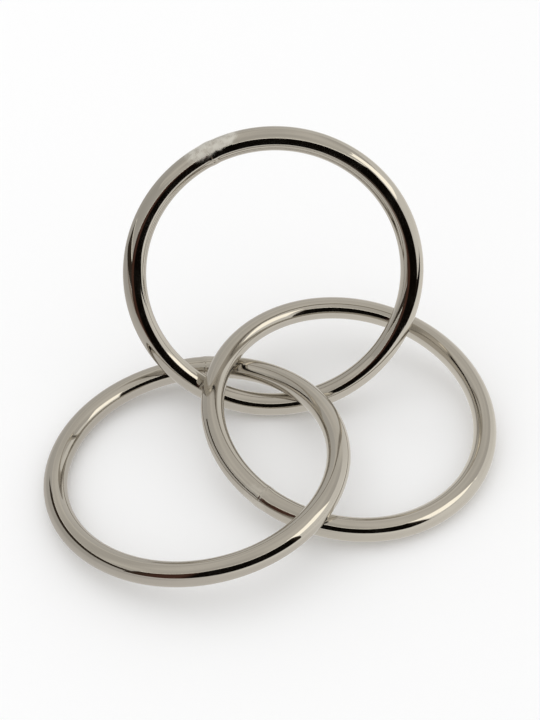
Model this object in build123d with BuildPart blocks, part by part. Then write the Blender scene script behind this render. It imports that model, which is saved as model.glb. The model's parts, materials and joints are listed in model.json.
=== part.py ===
from build123d import *
from math import cos, pi, radians, sin
import os

# Three linked steel rings, resting together on a flat surface. Millimetres.
# Each ring is a round bar bent into a circle whose two ends are butt-welded.
# Up is +Z, the surface is Z = 0, and the standing ring faces -Y.

# ---- the bar and the ring ------------------------------------------------
wire_diameter = 5.0
inside_diameter = 55.0
running_gap = 0.2          # least space left between two rings that rest on each other

wire_radius = wire_diameter / 2
ring_radius = (inside_diameter + wire_diameter) / 2      # centre line of the bar
contact_distance = wire_diameter + running_gap           # centre line to centre line

# ---- the weld ------------------------------------------------------------
weld_length = 3.2
weld_rise = 0.08           # how far the dressed weld stands proud of the bar
weld_span_angle = 360 * weld_length / (2 * pi * ring_radius)

# ---- how the rings lie ---------------------------------------------------
# Plan places are shares of the ring radius, from the standing ring's foot.
standing_angle = 67.0      # the standing ring's plane above the surface
left_place_share = (-0.58, -0.68)
left_raised_angle = -22.5  # plan direction of the higher side, from +X towards +Y
right_place_share = (0.534, -0.2425)
right_raised_angle = 125.4
steepest_tilt = 24.0       # the flat rings are lowered from here until they rest
lowering_angle = 1.5       # in steps of this, and then by halving
bisections = 16
settling_rounds = 5        # the two flat rings are lowered in turn, this many times

# Arcs of the bar in which one ring rests on another, in degrees. On the standing
# ring they are counted from its foot towards +X, on the left ring from its higher
# side, against the clock seen from above.
standing_angles_under_left = (5, 90)
standing_angles_under_right = (-90, -5)
left_angles_on_right = (-75, 35)
left_angles_under_right = (45, 150)

# Where each weld lies: on the standing ring from its foot towards +X, on each flat
# ring from its higher side, against the clock seen from above.
standing_weld_angle = 206.0
left_weld_angle = 108.0
right_weld_angle = 104.0


def flat_frame(place_share, tilt, raised_angle):
    """Plane of a ring that lies on the surface with one side raised."""
    t = radians(tilt)
    a = radians(raised_angle)
    normal = (-sin(t) * cos(a), -sin(t) * sin(a), cos(t))
    towards_raised = (cos(t) * cos(a), cos(t) * sin(a), sin(t))
    height = ring_radius * sin(t) + wire_radius
    middle = (place_share[0] * ring_radius, place_share[1] * ring_radius, height)
    return Plane(origin=middle, x_dir=towards_raised, z_dir=normal)


def standing_frame(angle):
    """Plane of the ring that stands on its foot and leans back."""
    t = radians(angle)
    normal = (0, -sin(t), cos(t))
    towards_foot = (0, -cos(t), -sin(t))
    middle = (0, ring_radius * cos(t), ring_radius * sin(t) + wire_radius)
    return Plane(origin=middle, x_dir=towards_foot, z_dir=normal)


def centre_line(frame, arc=None):
    """The whole centre line of a ring, or the part between two angles."""
    if arc is None:
        return Edge.make_circle(ring_radius, frame)
    return Edge.make_circle(ring_radius, frame, start_angle=arc[0], end_angle=arc[1])


def lowered(frame_at, pairs_at):
    """Lower a ring from its steepest tilt until it first rests on something."""

    def spare(tilt):
        frame = frame_at(tilt)
        return min(a.distance_to(b) for a, b in pairs_at(frame)) - contact_distance

    high = steepest_tilt
    low = high - lowering_angle
    while low > 0 and spare(low) > 0:
        high = low
        low = high - lowering_angle
    low = max(low, 0.0)
    if spare(low) > 0:
        return low
    for _ in range(bisections):
        middle = (high + low) / 2
        if spare(middle) > 0:
            high = middle
        else:
            low = middle
    return high


def settled():
    """Frames of the three rings once each flat ring rests on its neighbours."""
    standing = standing_frame(standing_angle)
    right_tilt = steepest_tilt / 2       # a first guess, which the rounds put right
    for _ in range(settling_rounds):
        right = flat_frame(right_place_share, right_tilt, right_raised_angle)

        def left_at(tilt):
            return flat_frame(left_place_share, tilt, left_raised_angle)

        def left_pairs(frame):
            return [
                (centre_line(standing, standing_angles_under_left), centre_line(frame)),
                (centre_line(frame, left_angles_on_right), centre_line(right)),
            ]

        left_tilt = lowered(left_at, left_pairs)
        left = left_at(left_tilt)

        def right_at(tilt):
            return flat_frame(right_place_share, tilt, right_raised_angle)

        def right_pairs(frame):
            return [
                (centre_line(standing, standing_angles_under_right), centre_line(frame)),
                (centre_line(left, left_angles_under_right), centre_line(frame)),
            ]

        right_tilt = lowered(right_at, right_pairs)
    right = flat_frame(right_place_share, right_tilt, right_raised_angle)
    return standing, left, right


def reach(frame, direction):
    """Lowest and highest place of a ring along one axis of the part."""
    middle = frame.origin.dot(direction)
    slope = frame.z_dir.dot(direction)
    half = ring_radius * (1 - slope**2) ** 0.5 + wire_radius
    return middle - half, middle + half


def centred(frames):
    """The same frames with the part's origin under the middle of its box."""
    shift = Vector(0, 0, 0)
    for direction in (Vector(1, 0, 0), Vector(0, 1, 0)):
        ends = [reach(frame, direction) for frame in frames]
        middle = (min(low for low, _ in ends) + max(high for _, high in ends)) / 2
        shift = shift - direction * middle
    return [Plane(f.origin + shift, x_dir=f.x_dir, z_dir=f.z_dir) for f in frames]


def section_plane(frame, angle):
    """Plane across the bar at an angle round the ring."""
    outwards = frame.x_dir.rotate(Axis((0, 0, 0), frame.z_dir), angle)
    along = frame.z_dir.cross(outwards)
    return Plane(frame.origin + outwards * ring_radius, x_dir=outwards, z_dir=along)


def welded_ring(frame, weld_middle_angle):
    """One ring: the bent bar, and the weld that closes it."""
    bar_start = weld_middle_angle + weld_span_angle / 2
    with BuildPart() as ring:
        with BuildSketch(section_plane(frame, bar_start)):
            Circle(wire_radius)
        revolve(axis=Axis(frame.origin, frame.z_dir), revolution_arc=360 - weld_span_angle)
        for share, rise in ((0.5, 0), (0, weld_rise), (-0.5, 0)):
            with BuildSketch(section_plane(frame, weld_middle_angle + share * weld_span_angle)):
                Circle(wire_radius + rise)
        loft()
    return ring


standing, left, right = centred(settled())

os.makedirs("parts", exist_ok=True)

# ---- the ring that stands on its foot and leans back ---------------------
upright_ring = welded_ring(standing, standing_weld_angle)
upright_ring.part.label = "upright_ring"
export_step(upright_ring.part, "parts/upright_ring.step")

# ---- the ring that lies to the left --------------------------------------
left_ring = welded_ring(left, left_weld_angle)
left_ring.part.label = "left_ring"
export_step(left_ring.part, "parts/left_ring.step")

# ---- the ring that lies to the right -------------------------------------
right_ring = welded_ring(right, right_weld_angle)
right_ring.part.label = "right_ring"
export_step(right_ring.part, "parts/right_ring.step")

for piece in (upright_ring, left_ring, right_ring):
    box = piece.part.bounding_box()
    print(piece.part.label, box.min, box.max, round(piece.part.volume), "mm3")
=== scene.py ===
# %% [markdown]
# # Three linked, nickel-plated rings
# The object is three equal steel rings. Each is a round bar, bent into a circle and butt-welded, and then
# plated with bright nickel. They are linked through each other and rest together on a table. One stands
# on its foot and leans back, and two lie on the table and on each other.
#
# A CAD frame gives each ring's middle, the way it faces and its sizes. This script gives the rings their
# finished surface, and builds the table, the light and the camera round them.

import json
from math import atan2, cos, pi, radians, sin

import bpy
import numpy as np
from mathutils import Matrix, Vector


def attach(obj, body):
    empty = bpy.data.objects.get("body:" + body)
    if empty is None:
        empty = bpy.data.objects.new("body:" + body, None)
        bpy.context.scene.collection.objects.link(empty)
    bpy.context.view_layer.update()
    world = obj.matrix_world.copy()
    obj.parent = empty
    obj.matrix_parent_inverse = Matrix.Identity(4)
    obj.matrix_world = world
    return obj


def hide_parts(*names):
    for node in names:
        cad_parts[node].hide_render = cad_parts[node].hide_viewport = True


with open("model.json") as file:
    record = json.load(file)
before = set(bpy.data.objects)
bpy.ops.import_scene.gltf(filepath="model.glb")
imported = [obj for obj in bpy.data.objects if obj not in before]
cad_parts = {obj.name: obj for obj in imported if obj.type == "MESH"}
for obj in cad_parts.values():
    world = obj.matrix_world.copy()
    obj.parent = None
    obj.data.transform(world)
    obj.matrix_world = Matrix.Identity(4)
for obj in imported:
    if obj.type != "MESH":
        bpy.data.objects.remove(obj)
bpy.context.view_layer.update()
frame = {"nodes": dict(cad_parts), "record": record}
scene = bpy.context.scene
scene.view_settings.view_transform = "Standard"
MM = 0.001

# %% [markdown]
# ## The camera
# The rings are small, and are looked at from close by and from above, the way a hand holds a camera over
# a table. At that distance the near rings look clearly larger than the far one, so the distance matters
# as much as the angle. The camera could be aimed with a constraint, but three turns in a row say exactly
# what a tripod head does: turn to the side, tip down, and a touch of roll.

# %% Place the camera
camera_place = Vector((-11.7, -191.97, 214.46)) * MM
camera_turn = radians(3.115)       # from +Y towards +X
camera_tip = radians(43.93)        # below the horizon
camera_roll = radians(0.994)
camera_lens = 65.8
nearest_seen = 1 * MM

camera = bpy.data.objects.new("camera", bpy.data.cameras.new("camera"))
scene.collection.objects.link(camera)
camera.data.lens = camera_lens
camera.data.clip_start = nearest_seen
head = Matrix.Rotation(-camera_turn, 4, "Z")
head = head @ Matrix.Rotation(pi / 2 - camera_tip, 4, "X")
head = head @ Matrix.Rotation(camera_roll, 4, "Z")
camera.matrix_world = Matrix.Translation(camera_place) @ head
scene.camera = camera
print("the camera stands", round(camera_place.length / MM), "mm from the middle of the table")

# %% [markdown]
# ## The table
# A plain pale table. Its white fades into the white background, and it keeps the soft shadow under the
# rings. It could be a sweep that curves up behind the rings, but a wide plane does the same, because its
# edge is far outside the view.
#
# Its paint is a material, which is a tree of nodes. Two short helpers keep this tree and the later ones
# readable: one adds a node and sets its choices, and one starts an empty material.

# %% Helpers for nodes
def add_node(tree, kind, **settings):
    """A new node of that kind, with its plain settings."""
    node = tree.nodes.new(kind)
    for name, value in settings.items():
        setattr(node, name, value)
    return node


def empty_material(name):
    """A material with nothing but its output node."""
    material = bpy.data.materials.new(name)
    material.use_nodes = True
    material.node_tree.nodes.clear()
    output = add_node(material.node_tree, "ShaderNodeOutputMaterial")
    return material, material.node_tree, output


print("helpers for nodes ready")

# %% Make the table
table_side = 6.0
pale_paint = (0.96, 0.96, 0.96, 1)

bpy.ops.object.select_all(action="DESELECT")
bpy.ops.mesh.primitive_plane_add(size=table_side, location=(0, 0, 0))
table = bpy.context.object
table.name = "table"
table_paint, tree, output = empty_material("table_paint")
paint = add_node(tree, "ShaderNodeBsdfDiffuse")
paint.inputs["Color"].default_value = pale_paint
tree.links.new(paint.outputs["BSDF"], output.inputs["Surface"])
table.data.materials.append(table_paint)
print("table", table_side, "m square")

# %% [markdown]
# ## The light
# Soft light from all sides comes from the world, and one wide lamp gives the shadows a direction. The
# world could hold an image of a whole studio, but one plain colour lights everything evenly and keeps the
# colours true.
#
# The camera and the mirrors see the world as plain white, while the light that falls on the table has its
# own plain level. A Light Path node tells the two apart.

# %% Light the table from all sides
sky_strength = 0.93
white = (1, 1, 1, 1)

world = bpy.data.worlds.new("studio")
scene.world = world
world.use_nodes = True
tree = world.node_tree
tree.nodes.clear()
path = add_node(tree, "ShaderNodeLightPath")
camera_or_mirror = add_node(tree, "ShaderNodeMath", operation="MAXIMUM")
any_straight_ray = add_node(tree, "ShaderNodeMath", operation="MAXIMUM")
tree.links.new(path.outputs["Is Camera Ray"], camera_or_mirror.inputs[0])
tree.links.new(path.outputs["Is Glossy Ray"], camera_or_mirror.inputs[1])
tree.links.new(camera_or_mirror.outputs[0], any_straight_ray.inputs[0])
tree.links.new(path.outputs["Is Transmission Ray"], any_straight_ray.inputs[1])
sky_light = add_node(tree, "ShaderNodeBackground")
sky_light.inputs["Color"].default_value = white
sky_light.inputs["Strength"].default_value = sky_strength
white_backdrop = add_node(tree, "ShaderNodeBackground")
white_backdrop.inputs["Color"].default_value = white
white_backdrop.inputs["Strength"].default_value = 1.0
choose = add_node(tree, "ShaderNodeMixShader")
tree.links.new(any_straight_ray.outputs[0], choose.inputs["Fac"])
tree.links.new(sky_light.outputs[0], choose.inputs[1])
tree.links.new(white_backdrop.outputs[0], choose.inputs[2])
world_output = add_node(tree, "ShaderNodeOutputWorld")
tree.links.new(choose.outputs[0], world_output.inputs["Surface"])
print("world light of strength", sky_strength)

# %% Hang one wide lamp
lamp_width = 1.4
lamp_watts = 1.9
lamp_place = (-0.35, 0.25, 1.1)    # behind the rings, at the left

lamp_data = bpy.data.lights.new("soft_lamp", "AREA")
lamp_data.shape = "DISK"
lamp_data.size = lamp_width
lamp_data.energy = lamp_watts
lamp = bpy.data.objects.new("soft_lamp", lamp_data)
scene.collection.objects.link(lamp)
lamp.location = lamp_place
lamp.rotation_euler = (-lamp.location).to_track_quat("-Z", "Y").to_euler()
lamp.visible_glossy = False
print("one lamp of", lamp_watts, "W,", lamp_width, "m wide")

# %% [markdown]
# ## What the mirror finish sees
# Bright nickel has almost no look of its own: it shows what stands round it. So the rings need
# surroundings, and the camera doesn't. As in a product studio, each thing round the rings is one card, and
# its ray visibility is set so that only mirror rays see it: the cards cast no shadow and give the table no
# light. An image of a room wrapped round the scene could do the same, but cards can stand close by, where
# each ring sees them at its own angle.
#
# A card is a wall that curves round the rings, or a level sheet. The wall starts as one point, is extruded
# to an upright edge, and is then spun, which turns clockwise seen from above for a positive angle.

# %% A curved card
wall_steps = 48


def curved_wall(name, middle, distance, turns, heights):
    """A wall that curves round a point of the table, between two turns from the front and two heights."""
    bpy.ops.object.select_all(action="DESELECT")
    start = (middle[0] + distance * sin(turns[0]), middle[1] - distance * cos(turns[0]), heights[0])
    bpy.ops.mesh.primitive_plane_add(size=1, location=start)
    wall = bpy.context.object
    wall.name = name
    bpy.ops.object.transform_apply(location=True, rotation=True, scale=True)
    bpy.ops.object.mode_set(mode="EDIT")
    bpy.ops.mesh.select_all(action="SELECT")
    bpy.ops.mesh.merge(type="CENTER")
    bpy.ops.mesh.extrude_region_move(TRANSFORM_OT_translate={"value": (0, 0, heights[1] - heights[0])})
    bpy.ops.mesh.select_all(action="SELECT")
    bpy.ops.mesh.spin(steps=wall_steps, angle=turns[0] - turns[1], center=(*middle, 0), axis=(0, 0, 1))
    bpy.ops.object.mode_set(mode="OBJECT")
    return wall


print("a curved card has", wall_steps, "faces")


# %% A level card
def flat_card(name, low_corner, high_corner, height):
    """A level card between two corners."""
    bpy.ops.object.select_all(action="DESELECT")
    bpy.ops.mesh.primitive_plane_add(size=1, location=(0, 0, 0))
    card = bpy.context.object
    card.name = name
    sides = [high - low for low, high in zip(low_corner, high_corner)]
    middle = [(high + low) / 2 for low, high in zip(low_corner, high_corner)]
    bpy.ops.object.mode_set(mode="EDIT")
    bpy.ops.mesh.select_all(action="SELECT")
    bpy.ops.transform.resize(value=(*sides, 1))
    bpy.ops.transform.translate(value=(*middle, height))
    bpy.ops.object.mode_set(mode="OBJECT")
    return card


def seen_by_mirrors_only(card):
    """A studio card that only the metal sees."""
    card.visible_camera = False
    card.visible_diffuse = False
    card.visible_transmission = False
    card.visible_volume_scatter = False
    card.visible_shadow = False


print("cards ready")

# %% [markdown]
# ## The glow of a card
# A mirror only sees how bright and what colour a card is, so a card needs no lamp: it glows. A real wall
# or table is never quite even. It gets lighter towards the window, or drifts in soft clouds, and bright
# metal that shows such a wall looks more real than one that shows a flat grey. So one helper makes a glow
# that changes from left to right through some colours, and one makes a glow that drifts between two.

# %% Glows that change
cloud_contrast = (0.35, 0.65)      # the part of the noise that is stretched over both colours


def striped_glow(name, ends, stripes):
    """A glow whose colour changes from left to right, between two ends of the table."""
    material, tree, output = empty_material(name)
    place = add_node(tree, "ShaderNodeTexCoord")
    across = add_node(tree, "ShaderNodeSeparateXYZ")
    share = add_node(tree, "ShaderNodeMapRange")
    share.inputs["From Min"].default_value = ends[0]
    share.inputs["From Max"].default_value = ends[1]
    ramp = add_node(tree, "ShaderNodeValToRGB")
    for stop, (position, colour) in zip(ramp.color_ramp.elements, (stripes[0], stripes[-1])):
        stop.position = position
        stop.color = (*colour, 1)
    for position, colour in stripes[1:-1]:
        ramp.color_ramp.elements.new(position).color = (*colour, 1)
    glow = add_node(tree, "ShaderNodeEmission")
    tree.links.new(place.outputs["Object"], across.inputs[0])
    tree.links.new(across.outputs["X"], share.inputs["Value"])
    tree.links.new(share.outputs["Result"], ramp.inputs["Fac"])
    tree.links.new(ramp.outputs["Color"], glow.inputs["Color"])
    tree.links.new(glow.outputs["Emission"], output.inputs["Surface"])
    return material


def uneven_glow(name, darker, lighter, cloud_size):
    """A glow that drifts between two colours, as on a real ceiling. Cloud size in metres."""
    material, tree, output = empty_material(name)
    place = add_node(tree, "ShaderNodeTexCoord")
    clouds = add_node(tree, "ShaderNodeTexNoise")
    clouds.inputs["Scale"].default_value = 1 / cloud_size
    clouds.inputs["Detail"].default_value = 1
    drift = add_node(tree, "ShaderNodeMapRange", interpolation_type="SMOOTHSTEP")
    drift.inputs["From Min"].default_value = cloud_contrast[0]
    drift.inputs["From Max"].default_value = cloud_contrast[1]
    colour = add_node(tree, "ShaderNodeMixRGB")
    colour.inputs[1].default_value = (*darker, 1)
    colour.inputs[2].default_value = (*lighter, 1)
    glow = add_node(tree, "ShaderNodeEmission")
    tree.links.new(place.outputs["Object"], clouds.inputs["Vector"])
    tree.links.new(clouds.outputs["Fac"], drift.inputs["Value"])
    tree.links.new(drift.outputs["Result"], colour.inputs[0])
    tree.links.new(colour.outputs[0], glow.inputs["Color"])
    tree.links.new(glow.outputs["Emission"], output.inputs["Surface"])
    return material


print("glows ready")

# %% [markdown]
# ## The room
# A room with warm grey walls and ceiling, and a pale table. It is lighter at the right, where its window
# is. A box would put a hard corner into the reflections, so the wall is round. The table's own card lies a
# hair above the table, because the mirrors see the nearer of the two, and it fades from left to right
# over the short stretch that the rings reflect.

# %% Put up the room
room_radius = 1.3
room_height = 0.9
table_card_lift = 0.2 * MM
table_ends = (-110 * MM, 60 * MM)      # the table fades from darker to lighter between these
ceiling_clouds = 0.9

wall_stripes = ((0.0, (0.48, 0.465, 0.435)), (0.5, (0.60, 0.585, 0.55)), (1.0, (0.84, 0.82, 0.77)))
table_stripes = ((0.0, (0.50, 0.485, 0.46)), (0.35, (0.62, 0.60, 0.57)), (0.65, (0.71, 0.69, 0.65)),
                 (1.0, (0.88, 0.86, 0.81)))
ceiling_grey = (0.54, 0.52, 0.48)
ceiling_cream = (0.70, 0.675, 0.62)

wall_card = curved_wall("wall_card", (0, 0), room_radius, (-pi, pi), (0, room_height))
wall_card.data.materials.append(striped_glow("wall_glow", (-room_radius, room_radius), wall_stripes))
room_corners = ((-room_radius, -room_radius), (room_radius, room_radius))
ceiling_card = flat_card("ceiling_card", *room_corners, room_height)
ceiling_card.data.materials.append(uneven_glow("ceiling_glow", ceiling_grey, ceiling_cream, ceiling_clouds))
table_card = flat_card("table_card", *room_corners, table_card_lift)
table_card.data.materials.append(striped_glow("table_glow", table_ends, table_stripes))
for card in (wall_card, ceiling_card, table_card):
    seen_by_mirrors_only(card)
print("a room", room_radius * 2, "m across and", room_height, "m high")

# %% [markdown]
# ## The dark shape in front
# Whoever bends over small bright things stands dark in their reflections. That shape gives each bar its
# dark bands, and the bands are what makes the metal read as round and polished. The body could be
# modelled, but on a bar of a few millimetres only its outline counts. One curved card has it: wide, nearly
# black with brown edges, and with an upper edge that falls towards the left end like a shoulder.

# %% Stand the dark shape in front
dark_middle = (36 * MM, -20 * MM)
dark_distance = 140 * MM
dark_turns = (radians(-65), radians(54))
shelf_height = 13 * MM             # the shape rises from a low shelf
dark_top = 192 * MM
slope_start = radians(-22)         # the shoulder falls from here to the left end
slope_drop = 0.68                  # and there has lost this share of the card's height
black = (0.004, 0.003, 0.002)
brown_red = (0.075, 0.035, 0.025)
brown = (0.04, 0.03, 0.022)
clothes = ((0.0, brown), (0.06, brown_red), (0.15, brown_red), (0.22, black), (0.95, black), (1.0, brown))


def slope_like_a_shoulder(card):
    """Let the card's upper edge fall towards its left end."""
    for vertex in card.data.vertices:
        turn = atan2(vertex.co.x - dark_middle[0], dark_middle[1] - vertex.co.y)
        share = min(max((slope_start - turn) / (slope_start - dark_turns[0]), 0.0), 1.0)
        vertex.co.z = shelf_height + (vertex.co.z - shelf_height) * (1 - share * slope_drop)


dark_shape = curved_wall("dark_shape", dark_middle, dark_distance, dark_turns, (shelf_height, dark_top))
slope_like_a_shoulder(dark_shape)
dark_ends = [dark_middle[0] + dark_distance * sin(turn) for turn in dark_turns]
dark_shape.data.materials.append(striped_glow("dark_clothes", dark_ends, clothes))
seen_by_mirrors_only(dark_shape)
print("dark shape", [round(v, 3) for v in dark_shape.dimensions])

# %% [markdown]
# ## The arm
# An arm reaches on from the shape's left end. In the left ring it shows as a thin dark line. Like the body
# it could be modelled, but a low strip that carries on the same curve looks the same on the metal. The
# sleeve has one even colour, so this is where the plainest glow is first needed.

# %% Hold out the arm
def glow_material(name, colour):
    """A card that gives off an even light, for a mirror to see."""
    material, tree, output = empty_material(name)
    glow = add_node(tree, "ShaderNodeEmission")
    glow.inputs["Color"].default_value = (*colour, 1)
    tree.links.new(glow.outputs["Emission"], output.inputs["Surface"])
    return material


arm_turns = (radians(-115), dark_turns[0])
arm_bottom = 30 * MM
arm_top = 50 * MM
dark_arm = curved_wall("dark_arm", dark_middle, dark_distance, arm_turns, (arm_bottom, arm_top))
dark_arm.data.materials.append(glow_material("sleeve", brown))
seen_by_mirrors_only(dark_arm)
print("arm", [round(v, 3) for v in dark_arm.dimensions])

# %% [markdown]
# ## The low shelf
# Under the dark shape runs a low shelf, as the edge of a tray would. Its top is dark, and its underside
# catches the table's light. So the standing ring, which looks down on it, shows it dark, and the lying
# rings, which look under it, show it pale. One card could not be both, because a glow is the same from
# both sides, and so each part of the shelf is two cards with a hair between them.
#
# The shelf has two parts. The large one ends in front of the rings, and beside the right ring a smaller
# one comes further back.

# %% Put in the shelf
shelf_thickness = 0.3 * MM
shelf_reach = 0.4                  # to both sides
shelf_near_edge = -0.5
shelf_far_edge = -55 * MM
side_shelf_start = 52.5 * MM
side_shelf_far_edge = -11 * MM
# the shelf's top is dark: from dark brown at the left end to black towards the middle of the table
dark_shelf_ends = (-60 * MM, 0)
dark_shelf_stripes = ((0.0, (0.32, 0.27, 0.23)), (0.5, (0.2, 0.15, 0.12)), (1.0, black))

shelf_parts = (((-shelf_reach, shelf_near_edge), (shelf_reach, shelf_far_edge)),
               ((side_shelf_start, shelf_far_edge), (shelf_reach, side_shelf_far_edge)))
dark_shelf_top = striped_glow("dark_shelf_top", dark_shelf_ends, dark_shelf_stripes)
shelf_underside = striped_glow("shelf_underside", table_ends, table_stripes)
for low_corner, high_corner in shelf_parts:
    shelf_top = flat_card("shelf_top", low_corner, high_corner, shelf_height)
    shelf_top.data.materials.append(dark_shelf_top)
    shelf_under = flat_card("shelf_under", low_corner, high_corner, shelf_height - shelf_thickness)
    shelf_under.data.materials.append(shelf_underside)
    seen_by_mirrors_only(shelf_top)
    seen_by_mirrors_only(shelf_under)
print("shelf at", round(shelf_height / MM, 1), "mm")

# %% [markdown]
# ## The lamps and the window
# The brightest lines on the metal are a row of lamps just over the dark shape, and a window at the right.
# Their warm white is stronger than 1, so that they still look white on grey metal. A fainter and much
# thinner line is the lamps' light on the arm. Area lamps would also show in a mirror, but they would light
# the table too, which has its own plain light.

# %% Hang the lamps and open the window
lamp_row_height = 13 * MM
lamp_white = (1.5, 1.45, 1.3)
arm_light_height = 3 * MM
sleeve_white = (1.0, 0.97, 0.88)
window_distance = 0.4
window_turns = (radians(58), radians(95))
window_heights = (0.22, 0.52)
window_white = (1.6, 1.54, 1.38)

lamp_heights = (dark_top, dark_top + lamp_row_height)
lamp_row = curved_wall("lamp_row", dark_middle, dark_distance, dark_turns, lamp_heights)
slope_like_a_shoulder(lamp_row)
lamp_row.data.materials.append(glow_material("lamp_glow", lamp_white))
arm_light_heights = (arm_top, arm_top + arm_light_height)
light_on_arm = curved_wall("light_on_arm", dark_middle, dark_distance, arm_turns, arm_light_heights)
light_on_arm.data.materials.append(glow_material("sleeve_light", sleeve_white))
window = curved_wall("window", (0, 0), window_distance, window_turns, window_heights)
window.data.materials.append(glow_material("window_glow", window_white))
for card in (lamp_row, light_on_arm, window):
    seen_by_mirrors_only(card)
print("a row of lamps over the dark shape, its light on the arm, and a window at the right")

# %% [markdown]
# ## One ring
# The real ring starts as a cut length of round bar. It is bent round until its ends meet, and the ends
# are fused. The mesh is made the same way, and its sizes are the CAD part's own.
#
# A torus primitive would be quicker, but it has no ends and so no weld. The ring is modelled once, flat
# round the origin with its weld on +X, and then copied.

# %% Read the sizes from the frame
eyes = {mount["name"]: mount for mount in frame["record"]["mounts"]}
bar_radius = eyes["upright_eye"]["dims"]["length_mm"] * MM / 2
ring_radius = eyes["upright_eye"]["dims"]["r_mm"] * MM + bar_radius
weld_length = 3.2 * MM
weld_rise = 0.08 * MM
print("bar", 2 * bar_radius / MM, "mm, centre line", 2 * ring_radius / MM, "mm across")

# %% [markdown]
# ## The bent bar
# A circle is the bar's section. It stands at one side of the weld, square to the bar, and Spin sweeps it
# round the ring's axis to the other side. The steps are many and short, because a mirror shows every
# corner of a coarse bend as a kink in its reflections.

# %% Bend the bar
section_points = 64
bend_steps = 600
half_weld = weld_length / 2 / ring_radius      # the angle from the weld's middle to its end

bpy.ops.object.select_all(action="DESELECT")
bar_start = (ring_radius * cos(half_weld), -ring_radius * sin(half_weld), 0)
bpy.ops.mesh.primitive_circle_add(vertices=section_points, radius=bar_radius, location=bar_start,
                                  rotation=(pi / 2, 0, -half_weld))
ring_pattern = bpy.context.object
ring_pattern.name = "ring_pattern"
bpy.ops.object.transform_apply(location=True, rotation=True, scale=True)
bpy.ops.object.mode_set(mode="EDIT")
bpy.ops.mesh.select_all(action="SELECT")
bpy.ops.mesh.spin(steps=bend_steps, angle=2 * (pi - half_weld), center=(0, 0, 0), axis=(0, 0, 1))
ring_pattern.update_from_editmode()
print("bent bar:", len(ring_pattern.data.vertices), "points before the weld")

# %% [markdown]
# ## The weld
# A dressed butt weld stands slightly proud of the bar. The open end, which Spin leaves selected, is
# extruded over the gap in short steps. Each step turns it a little further round the ring and swells it,
# up to the weld's middle, and then shrinks it back. The last step lands on the bar's other end, and
# merging the doubles closes the ring. A separate bead over the bar would leave a crease that no dressed
# and plated weld has.

# %% Weld its ends
weld_steps = 16
touching = 0.01 * MM

weld_turn = 2 * half_weld / weld_steps
for step in range(weld_steps):
    turned_to = half_weld - (step + 1) * weld_turn
    place = Vector((cos(turned_to), sin(turned_to), 0)) * ring_radius
    share_before = sin(pi * step / weld_steps) ** 2
    share_now = sin(pi * (step + 1) / weld_steps) ** 2
    swell = (bar_radius + weld_rise * share_now) / (bar_radius + weld_rise * share_before)
    bpy.ops.mesh.extrude_region_move()
    bpy.ops.transform.rotate(value=weld_turn, orient_axis="Z", center_override=(0, 0, 0))
    bpy.ops.transform.resize(value=(swell, swell, swell), center_override=place)
bpy.ops.mesh.select_all(action="SELECT")
bpy.ops.mesh.remove_doubles(threshold=touching)
bpy.ops.mesh.normals_make_consistent(inside=False)
bpy.ops.object.mode_set(mode="OBJECT")
bpy.ops.object.shade_smooth()
print("welded ring:", len(ring_pattern.data.polygons), "faces")

# %% [markdown]
# ## The three rings
# Each ring is a copy of the pattern with its own mesh. It is turned about its own axis until its weld is
# where the CAD ring stands proud, and is then laid into that ring's plane. Its place goes into the mesh,
# so that the object itself stays at the origin. Linked copies would be lighter, but they would share one
# mesh and couldn't be laid in that way.

# %% Find a ring's weld
def weld_direction(node, middle, axis):
    """The way from the ring's middle to its weld, where the CAD solid is thicker than its bar."""
    points = np.array([vertex.co for vertex in node.data.vertices]) - np.array(middle)
    heights = points @ np.array(axis)
    flat = points - np.outer(heights, axis)
    spread = np.linalg.norm(flat, axis=1)
    thickness = np.hypot(spread - ring_radius, heights)
    proud = flat[thickness > bar_radius + weld_rise / 2]
    return Vector(proud.mean(axis=0)).normalized()


print("a weld shows where the bar is", round(weld_rise / 2 / MM, 3), "mm thicker")


# %% Copy the pattern into the rings' places
def placed_ring(name):
    """A copy of the ring pattern that lies where the CAD ring of that name does."""
    eye = eyes[name.replace("ring", "eye")]
    middle = Vector(eye["pos_m"])
    axis = Vector(eye["axis"]).normalized()
    towards_weld = weld_direction(frame["nodes"][name], middle, axis)
    sideways = axis.cross(towards_weld)
    lay = Matrix((towards_weld, sideways, axis)).transposed().to_4x4()
    lay.translation = middle
    ring = bpy.data.objects.new(name.replace("ring", "nickel_ring"), ring_pattern.data.copy())
    scene.collection.objects.link(ring)
    ring.data.transform(lay)
    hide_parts(name)
    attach(ring, name)
    print(ring.name, "has its weld towards", [round(v, 2) for v in towards_weld])
    return ring, lay


rings = {name: placed_ring(name) for name in ("upright_ring", "left_ring", "right_ring")}
bpy.data.objects.remove(ring_pattern)
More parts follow.
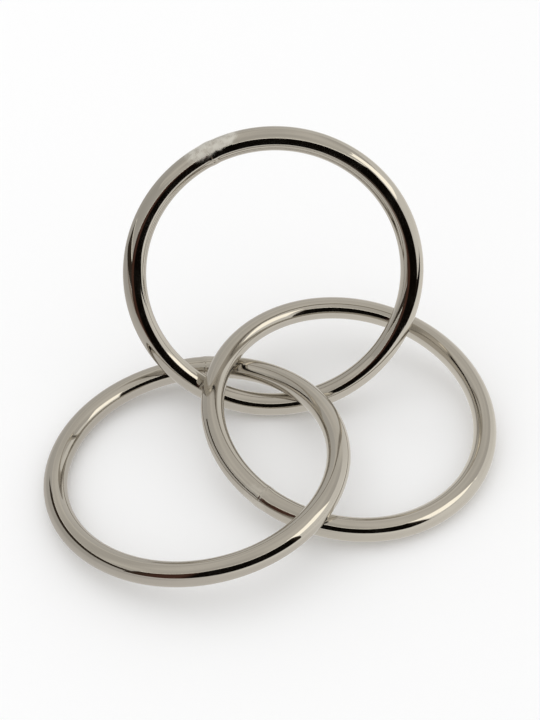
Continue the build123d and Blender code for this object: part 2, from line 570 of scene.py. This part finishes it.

# %% [markdown]
# ## The nickel plate
# Bright nickel is a slightly warm, mirror-like metal. The plate isn't perfect: it undulates a little where
# the bar was bent, and it has a faint haze from handling. At the weld the bead was dressed by hand before
# plating, so the plate is satin there, with a painted sheen that lightens its colour for the light that the
# satin catches, and a shallow seam crosses the bar.
#
# Painted images could hold all this, but a pattern made of nodes stays sharp at any distance. It is one
# group of nodes, built once and used by all three rings. It works in the ring's own directions, X towards
# the weld and Y along the bar, in millimetres, so that a size in it can be read as a size on the ring.

# %% Start the plate's pattern
plate = bpy.data.node_groups.new("nickel_surface", "ShaderNodeTree")
plate.interface.new_socket("Ring place", in_out="INPUT", socket_type="NodeSocketVector")
# Satin sets the weld's roughness and also the strength of its painted sheen
plate.interface.new_socket("Satin", in_out="INPUT", socket_type="NodeSocketFloat")
plate.interface.new_socket("Satin reach", in_out="INPUT", socket_type="NodeSocketFloat")
plate.interface.new_socket("Color", in_out="OUTPUT", socket_type="NodeSocketColor")
plate.interface.new_socket("Roughness", in_out="OUTPUT", socket_type="NodeSocketFloat")
plate.interface.new_socket("Height", in_out="OUTPUT", socket_type="NodeSocketFloat")
group_in = add_node(plate, "NodeGroupInput")
group_out = add_node(plate, "NodeGroupOutput")
ring_place = group_in.outputs["Ring place"]
print("the plate's pattern has", len(plate.interface.items_tree), "sockets")


# %% Helpers for the pattern
def noise(scale, detail=2):
    """Clouds on the ring, with about that many to a millimetre."""
    clouds = add_node(plate, "ShaderNodeTexNoise")
    clouds.inputs["Scale"].default_value = scale
    clouds.inputs["Detail"].default_value = detail
    plate.links.new(ring_place, clouds.inputs["Vector"])
    return clouds.outputs["Fac"]


def maths(operation, first, second=0.0, third=0.0):
    """One sum. Each term is a number or another node's result."""
    step = add_node(plate, "ShaderNodeMath", operation=operation)
    for slot, term in zip(step.inputs, (first, second, third)):
        if isinstance(term, (int, float)):
            slot.default_value = term
        else:
            plate.links.new(term, slot)
    return step.outputs[0]


def between(value, limits, results):
    """A soft step of a value from one result to the other, between two limits."""
    step = add_node(plate, "ShaderNodeMapRange", interpolation_type="SMOOTHSTEP")
    plate.links.new(value, step.inputs["Value"])
    for slot, number in zip(("From Min", "From Max", "To Min", "To Max"), (*limits, *results)):
        step.inputs[slot].default_value = number
    return step.outputs["Result"]


print("helpers for the pattern ready")

# %% [markdown]
# ## The satin patch
# The bead was dressed with a belt or a file, from the ring's outside, so the satin patch is longer there
# and ends before it reaches the inside. Its edge is ragged, because a hand guided the tool. The distance
# from the patch's middle, with clouds added, is compared with the reach that each ring is given.

# %% Where the weld is satin
dressed_middle = -1.2              # mm along the bar: it was dressed further to one side of the weld
flare = 0.8                        # how much longer the patch gets for each mm outwards
ragged_clouds, ragged_by = 0.7, 3.0
edge_fade = (0.2, 2.4)             # mm past its reach
end_slant = 0.12
end_clouds, end_ragged_by = 0.9, 1.4
end_fade = (0.1, 1.1)              # mm outwards from the bar's middle
rising, falling = (0.0, 1.0), (1.0, 0.0)

directions = add_node(plate, "ShaderNodeSeparateXYZ")
plate.links.new(ring_place, directions.inputs[0])
outwards = maths("SUBTRACT", directions.outputs["X"], ring_radius / MM)
along = directions.outputs["Y"]
off_middle = maths("ABSOLUTE", maths("SUBTRACT", along, dressed_middle))
wider_outside = maths("MULTIPLY_ADD", outwards, -flare, off_middle)
ragged = maths("MULTIPLY_ADD", noise(ragged_clouds), ragged_by, wider_outside)
past_reach = maths("SUBTRACT", ragged, group_in.outputs["Satin reach"])
ragged_end = maths("MULTIPLY_ADD", noise(end_clouds), end_ragged_by, outwards)
from_inside = between(maths("MULTIPLY_ADD", along, end_slant, ragged_end), end_fade, rising)
satin = maths("MULTIPLY", between(past_reach, edge_fade, falling), group_in.outputs["Satin"])
satin = maths("MULTIPLY", satin, from_inside)
print("satin patch round the weld")

# %% [markdown]
# ## The seam and the undulation
# These are shallow shapes, a few hundredths of a millimetre deep, that a mirror finish still shows. They
# could be modelled, but would need a very fine mesh, so they are a height for a Bump node. The seam is a
# narrow wandering line across the bar. The undulation is what bending and polishing leave, and the tool's
# marks roughen the satin patch.

# %% The heights on the plate
seam_middle = 0.4                  # mm along the bar
seam_clouds, seam_wanders_by = 0.5, 0.8
seam_half_width = 0.35
weld_side = (-6.0, -5.0)           # further inwards than this is the ring's far side
seam_depth = 0.05
wave_clouds, wave_height = 0.09, 0.04
mark_clouds, mark_height = 1.2, 0.03

seam_line = maths("SUBTRACT", along, seam_middle)
seam_line = maths("MULTIPLY_ADD", noise(seam_clouds), seam_wanders_by, seam_line)
seam = between(maths("ABSOLUTE", seam_line), (0.0, seam_half_width), falling)
seam = maths("MULTIPLY", seam, between(outwards, weld_side, rising))
waves = maths("MULTIPLY", noise(wave_clouds), wave_height)
marks = maths("MULTIPLY", noise(mark_clouds), satin)
height = maths("MULTIPLY_ADD", seam, -seam_depth, waves)
height = maths("MULTIPLY_ADD", marks, mark_height, height)
plate.links.new(height, group_out.inputs["Height"])
print("seam", seam_depth, "mm deep, undulation", wave_height, "mm high")

# %% [markdown]
# ## The haze and the colours
# Handling leaves a faint haze: where it lies, the mirror is a little less sharp and a little darker. The
# satin patch is much rougher and mottled, as a weld dressed by hand is, and its colour is lightened there
# as a painted sheen, for the light that the satin catches. Roughness and colour could each have a pattern
# of their own, but the same clouds drive both, because on real metal they change together.

# %% How rough and what colour the plate is
haze_clouds, haze_contrast = 0.26, (0.35, 0.65)
mirror_roughness = (0.03, 0.09)    # where the plate is clear, and where it is hazy
satin_roughness = 0.38             # added where the plate is satin
mottle_clouds, mottle_contrast = 0.8, (0.3, 0.6)
mottle_strength = (0.45, 1.0)
clear_nickel = (0.62, 0.59, 0.54, 1)
hazy_nickel = (0.58, 0.55, 0.50, 1)
# painted sheen: a pale colour that stands in for the light the satin patch catches
painted_satin_sheen = (0.95, 0.94, 0.90, 1)

haze = noise(haze_clouds, detail=4)
mottled = maths("MULTIPLY", satin, between(noise(mottle_clouds), mottle_contrast, mottle_strength))
mirror = between(haze, haze_contrast, mirror_roughness)
roughness = maths("MULTIPLY_ADD", mottled, satin_roughness, mirror)
tint = add_node(plate, "ShaderNodeMixRGB")
tint.inputs[1].default_value = clear_nickel
tint.inputs[2].default_value = hazy_nickel
# the painted sheen: where the plate is satin, its colour is mixed towards that pale colour
painted_sheen_mix = add_node(plate, "ShaderNodeMixRGB")
painted_sheen_mix.inputs[2].default_value = painted_satin_sheen
plate.links.new(haze, tint.inputs[0])
plate.links.new(mottled, painted_sheen_mix.inputs[0])
plate.links.new(tint.outputs[0], painted_sheen_mix.inputs[1])
plate.links.new(painted_sheen_mix.outputs[0], group_out.inputs["Color"])
plate.links.new(roughness, group_out.inputs["Roughness"])
print("the plate's pattern has", len(plate.nodes), "nodes")

# %% [markdown]
# ## Plate the rings
# Every ring gets its own material round the shared group, because each lies at its own angle: a Mapping
# node turns the place on the ring into the ring's own directions and into millimetres. The upright ring's
# weld was dressed hard and far, and the welds of the other two only lightly.

# %% Plate the rings
# the satin strength also sets how strong the weld's painted sheen is
dressed_welds = {                  # how strong the satin is, and how far it reaches along the bar, in mm
    "upright_ring": (1.0, 4.5),
    "left_ring": (0.2, 1.2),
    "right_ring": (0.2, 1.2),
}


def nickel_plate(name, lay, satin_strength, satin_reach):
    """The plate on one ring. lay is how the ring lies, the rest how dull and how long its dressed weld is;
    the dullness also sets how strong its painted sheen is.
    """
    material, tree, output = empty_material(name)
    nickel = add_node(tree, "ShaderNodeBsdfPrincipled")
    nickel.inputs["Metallic"].default_value = 1.0
    place = add_node(tree, "ShaderNodeTexCoord")
    to_ring = lay.inverted()
    turned = add_node(tree, "ShaderNodeMapping", vector_type="POINT")
    turned.inputs["Location"].default_value = (Matrix.Scale(1 / MM, 4) @ to_ring).to_translation()
    turned.inputs["Rotation"].default_value = to_ring.to_euler()
    turned.inputs["Scale"].default_value = (1 / MM, 1 / MM, 1 / MM)
    surface = add_node(tree, "ShaderNodeGroup", node_tree=plate)
    surface.inputs["Satin"].default_value = satin_strength
    surface.inputs["Satin reach"].default_value = satin_reach
    bump = add_node(tree, "ShaderNodeBump")
    bump.inputs["Strength"].default_value = 1.0
    bump.inputs["Distance"].default_value = MM     # the pattern's heights are in millimetres
    tree.links.new(place.outputs["Object"], turned.inputs["Vector"])
    tree.links.new(turned.outputs["Vector"], surface.inputs["Ring place"])
    tree.links.new(surface.outputs["Color"], nickel.inputs["Base Color"])
    tree.links.new(surface.outputs["Roughness"], nickel.inputs["Roughness"])
    tree.links.new(surface.outputs["Height"], bump.inputs["Height"])
    tree.links.new(bump.outputs["Normal"], nickel.inputs["Normal"])
    tree.links.new(nickel.outputs["BSDF"], output.inputs["Surface"])
    return material


for name, (ring, lay) in rings.items():
    ring.data.materials.clear()
    ring.data.materials.append(nickel_plate(name + "_plate", lay, *dressed_welds[name]))
print("plated", len(rings), "rings")
